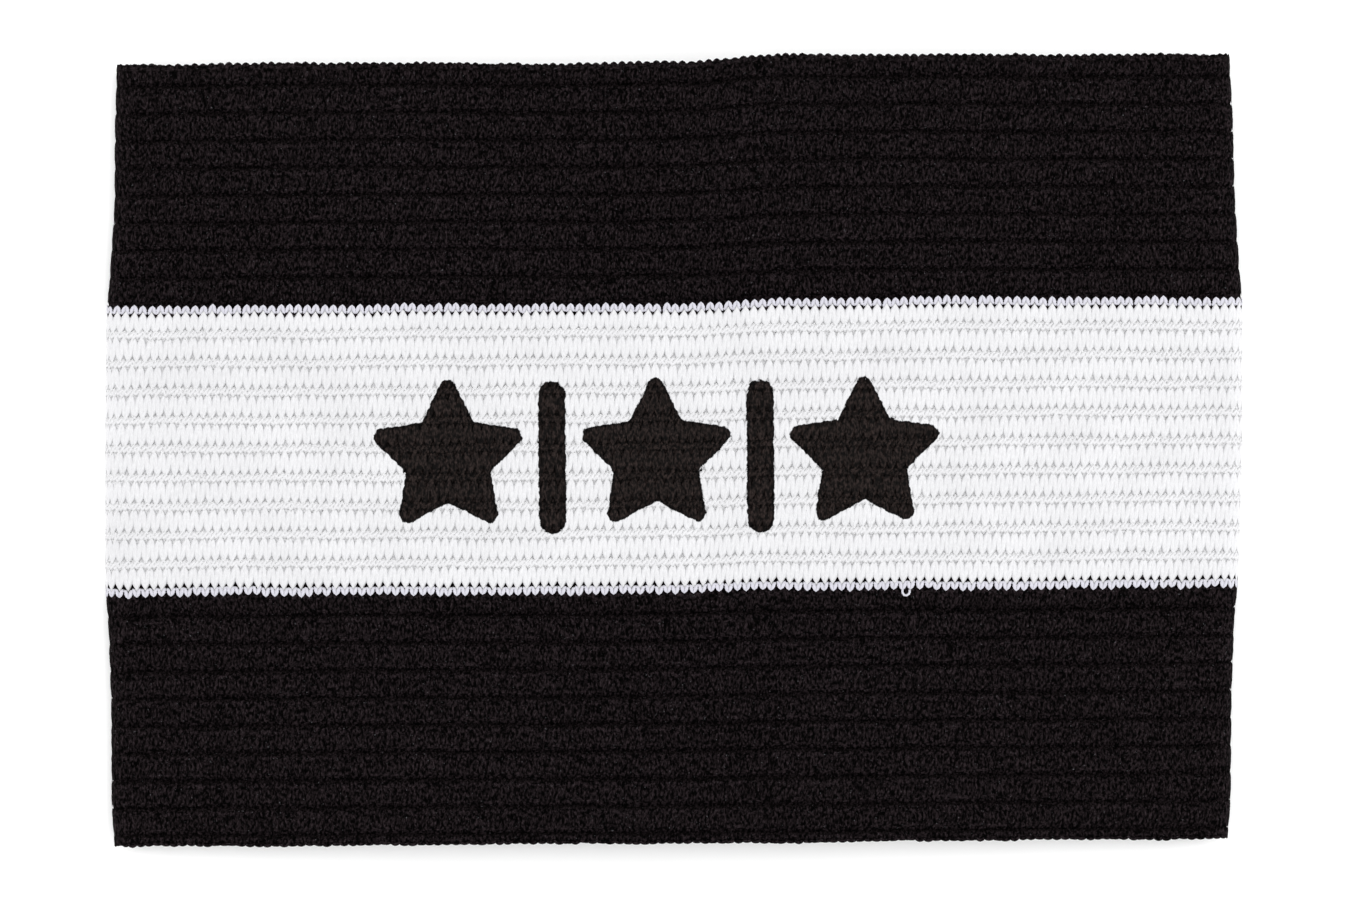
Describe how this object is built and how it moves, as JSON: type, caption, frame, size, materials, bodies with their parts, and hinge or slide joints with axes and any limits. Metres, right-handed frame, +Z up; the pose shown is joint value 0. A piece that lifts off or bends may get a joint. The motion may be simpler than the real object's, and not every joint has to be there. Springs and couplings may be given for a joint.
{
  "type": "captain armband",
  "caption": "Flat loop of wide ribbed knitted elastic, worn on the upper arm: black, white and black zones round it, with stars and bars printed on the white.",
  "frame": {"origin": "middle of the footprint, on the surface that the flat loop lies on", "axes": "+X along the flat loop from fold to fold, +Y across the band towards its upper edge, +Z up through the two layers"},
  "size_m": [0.1298, 0.0894, 0.0094],
  "materials": {
    "black_elastic": "matt crochet-knitted polyester and rubber elastic, black",
    "white_elastic": "matt crochet-knitted polyester and rubber elastic, white",
    "print_ink": "matt black screen-print ink"
  },
  "bodies": {
    "root": {"upper_black_band": "black_elastic", "white_band": "white_elastic", "lower_black_band": "black_elastic", "print_star_left": "print_ink", "print_bar_left": "print_ink", "print_star_centre": "print_ink", "print_bar_right": "print_ink", "print_star_right": "print_ink"}
  },
  "joints": []
}
